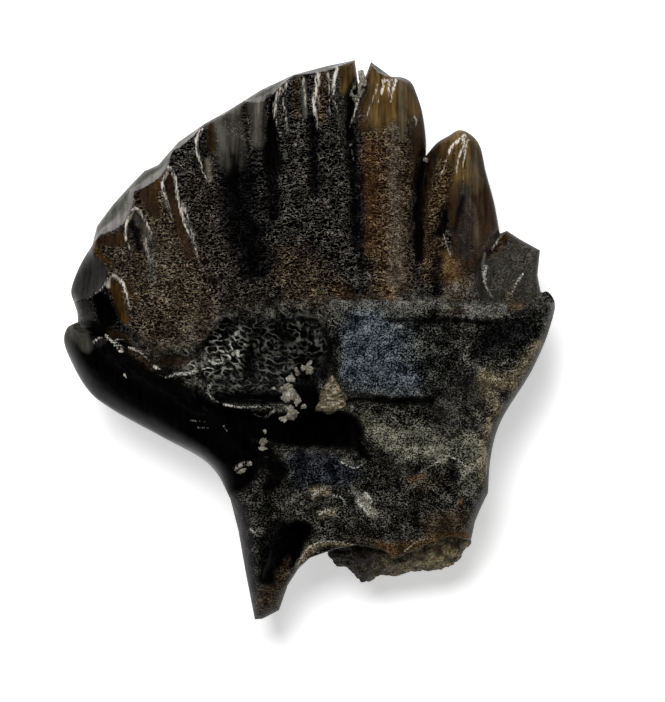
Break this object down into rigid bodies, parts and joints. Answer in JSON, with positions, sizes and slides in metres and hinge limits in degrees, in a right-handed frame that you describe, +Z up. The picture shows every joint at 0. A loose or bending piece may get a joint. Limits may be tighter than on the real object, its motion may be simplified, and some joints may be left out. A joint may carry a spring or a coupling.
{
  "type": "fossil ankylosaur tooth",
  "caption": "Fossil leaf-shaped armoured-dinosaur tooth with a fluted, worn crown, a swollen cingulum and a broken root filled with sediment.",
  "frame": {"origin": "middle of the tooth's length and width, on the surface that it lies on", "axes": "+Y from the broken root to the crown's tip; +X to the right of the side that is shown; +Z up, out of that side"},
  "size_m": [0.0147, 0.0168, 0.0061],
  "materials": {
    "polished_fossil": "near-black to honey-brown fossil enamel and dentine, polished at the crown's margin and cingulum, finely granular elsewhere",
    "root_sediment": "matt, lumpy brown-green siltstone",
    "pit_sediment": "matt, pale tan sediment"
  },
  "bodies": {
    "root": {"tooth": "polished_fossil", "root_sediment": "root_sediment", "pit_sediment": "pit_sediment"}
  },
  "joints": []
}
